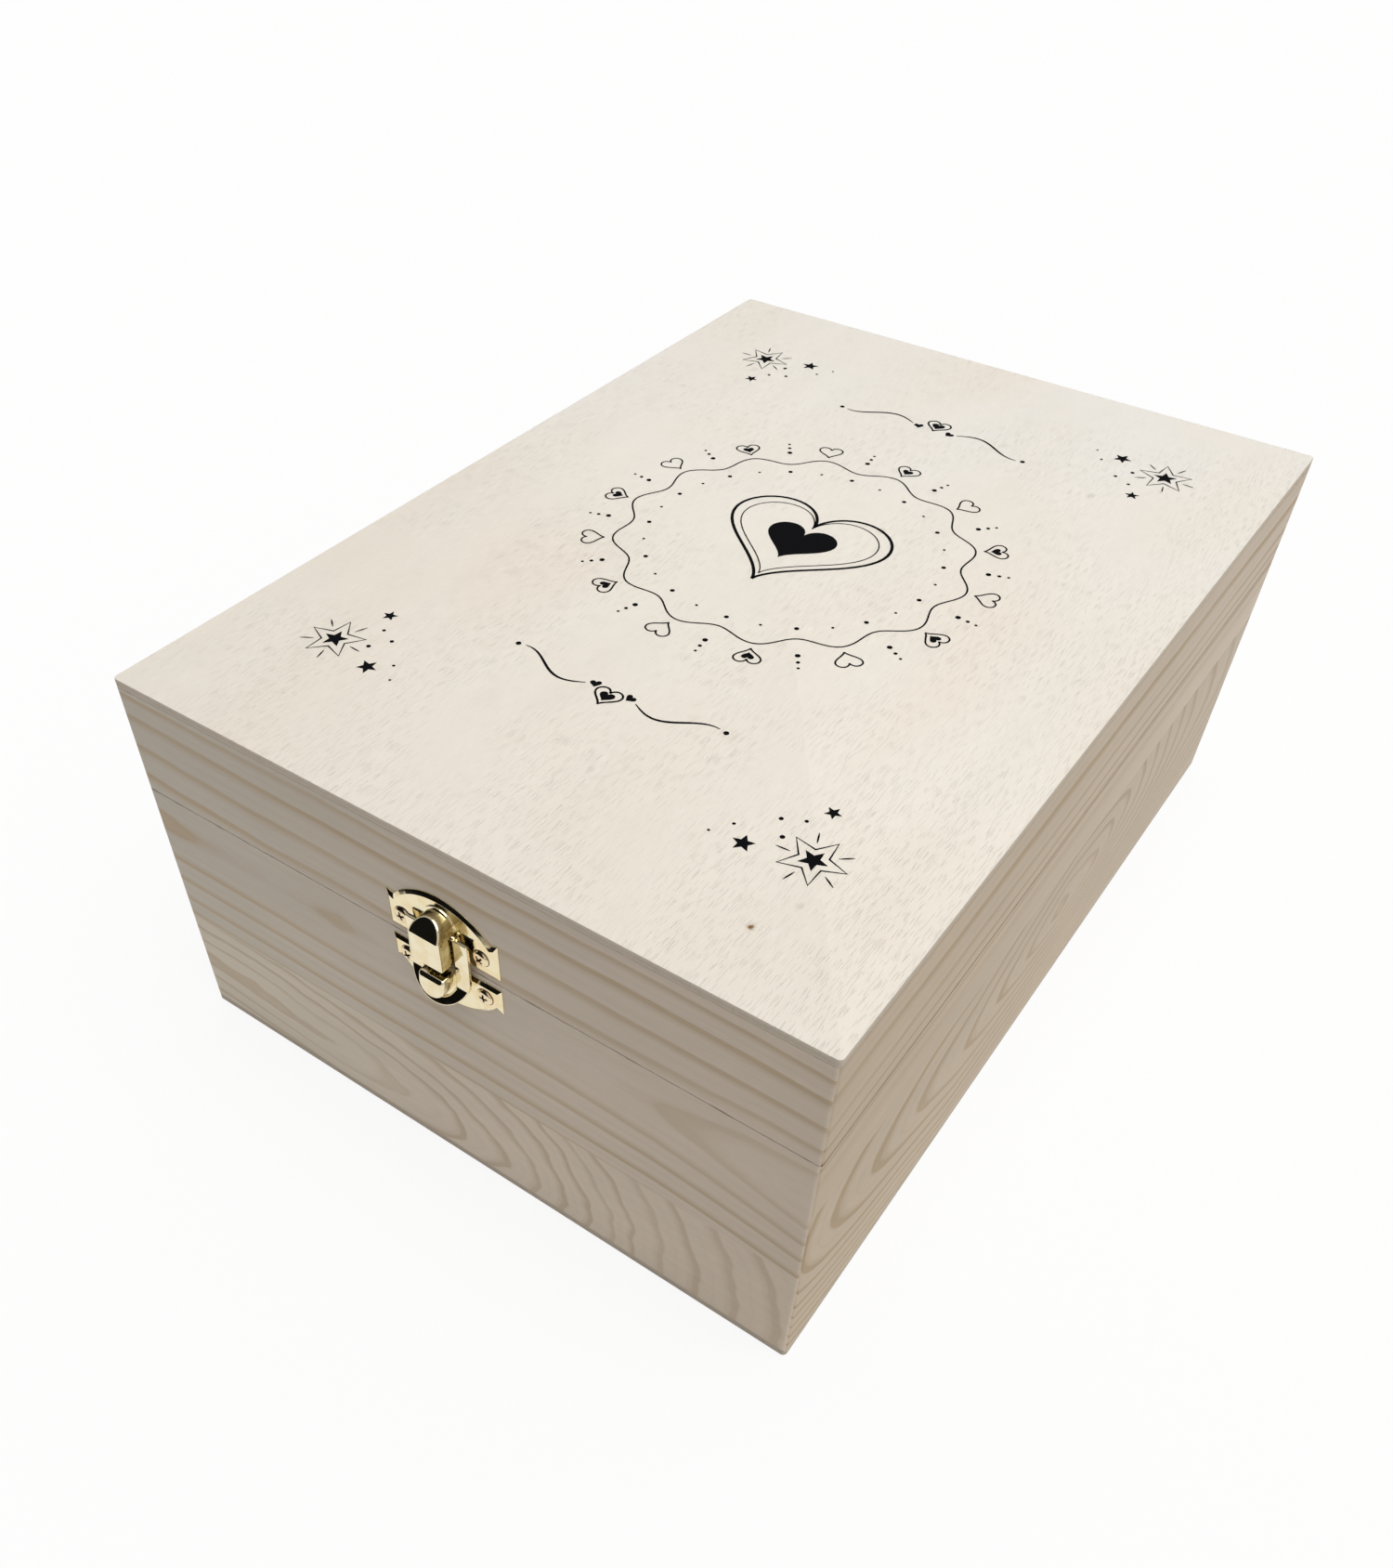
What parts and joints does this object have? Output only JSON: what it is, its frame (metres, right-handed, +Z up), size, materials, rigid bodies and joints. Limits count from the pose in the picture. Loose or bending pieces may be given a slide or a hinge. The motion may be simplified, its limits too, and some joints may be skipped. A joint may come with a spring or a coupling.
{
  "type": "hinged wooden keepsake box",
  "caption": "Oblong pine box with a full-width hinged lid, plywood top and bottom panels, two butt hinges at the back and a brass-plated hasp latch in front.",
  "frame": {"origin": "centre of the box's underside, on the surface it stands on", "axes": "+Z up, -Y towards the front with the latch, +X to the right seen from the front"},
  "size_m": [0.245, 0.3586, 0.142],
  "materials": {
    "pine": "matte",
    "plywood": "matte",
    "plated_steel": "polished"
  },
  "bodies": {
    "base": {"bottom_panel": "plywood", "base_front_lower": "pine", "base_front_upper": "pine", "base_back_lower": "pine", "base_back_upper": "pine", "base_left_lower": "pine", "base_left_upper": "pine", "base_right_lower": "pine", "base_right_upper": "pine", "hinge_left_base_leaf": "plated_steel", "hinge_left_pin": "plated_steel", "hinge_right_base_leaf": "plated_steel", "hinge_right_pin": "plated_steel", "hinge_base_screws": "plated_steel", "latch_keeper_plate": "plated_steel", "latch_keeper_nose": "plated_steel", "latch_keeper_screws": "plated_steel"},
    "lid": {"lid_front": "pine", "lid_back": "pine", "lid_left": "pine", "lid_right": "pine", "lid_panel": "plywood", "hinge_left_lid_leaf": "plated_steel", "hinge_right_lid_leaf": "plated_steel", "hinge_lid_screws": "plated_steel", "latch_lid_plate": "plated_steel", "latch_housing": "plated_steel", "latch_lid_screws": "plated_steel"},
    "hasp": {"latch_hasp": "plated_steel"}
  },
  "joints": [
    {"name": "lid_hinge", "type": "hinge", "parent": "base", "child": "lid", "pos_m": [0, 0.173, 0.1005], "axis": [-1, 0, 0], "range_deg": [0, 105]},
    {"name": "hasp_pivot", "type": "hinge", "parent": "lid", "child": "hasp", "pos_m": [0.0017, -0.1772, 0.1127], "axis": [-1, 0, 0], "range_deg": [0, 160]}
  ]
}
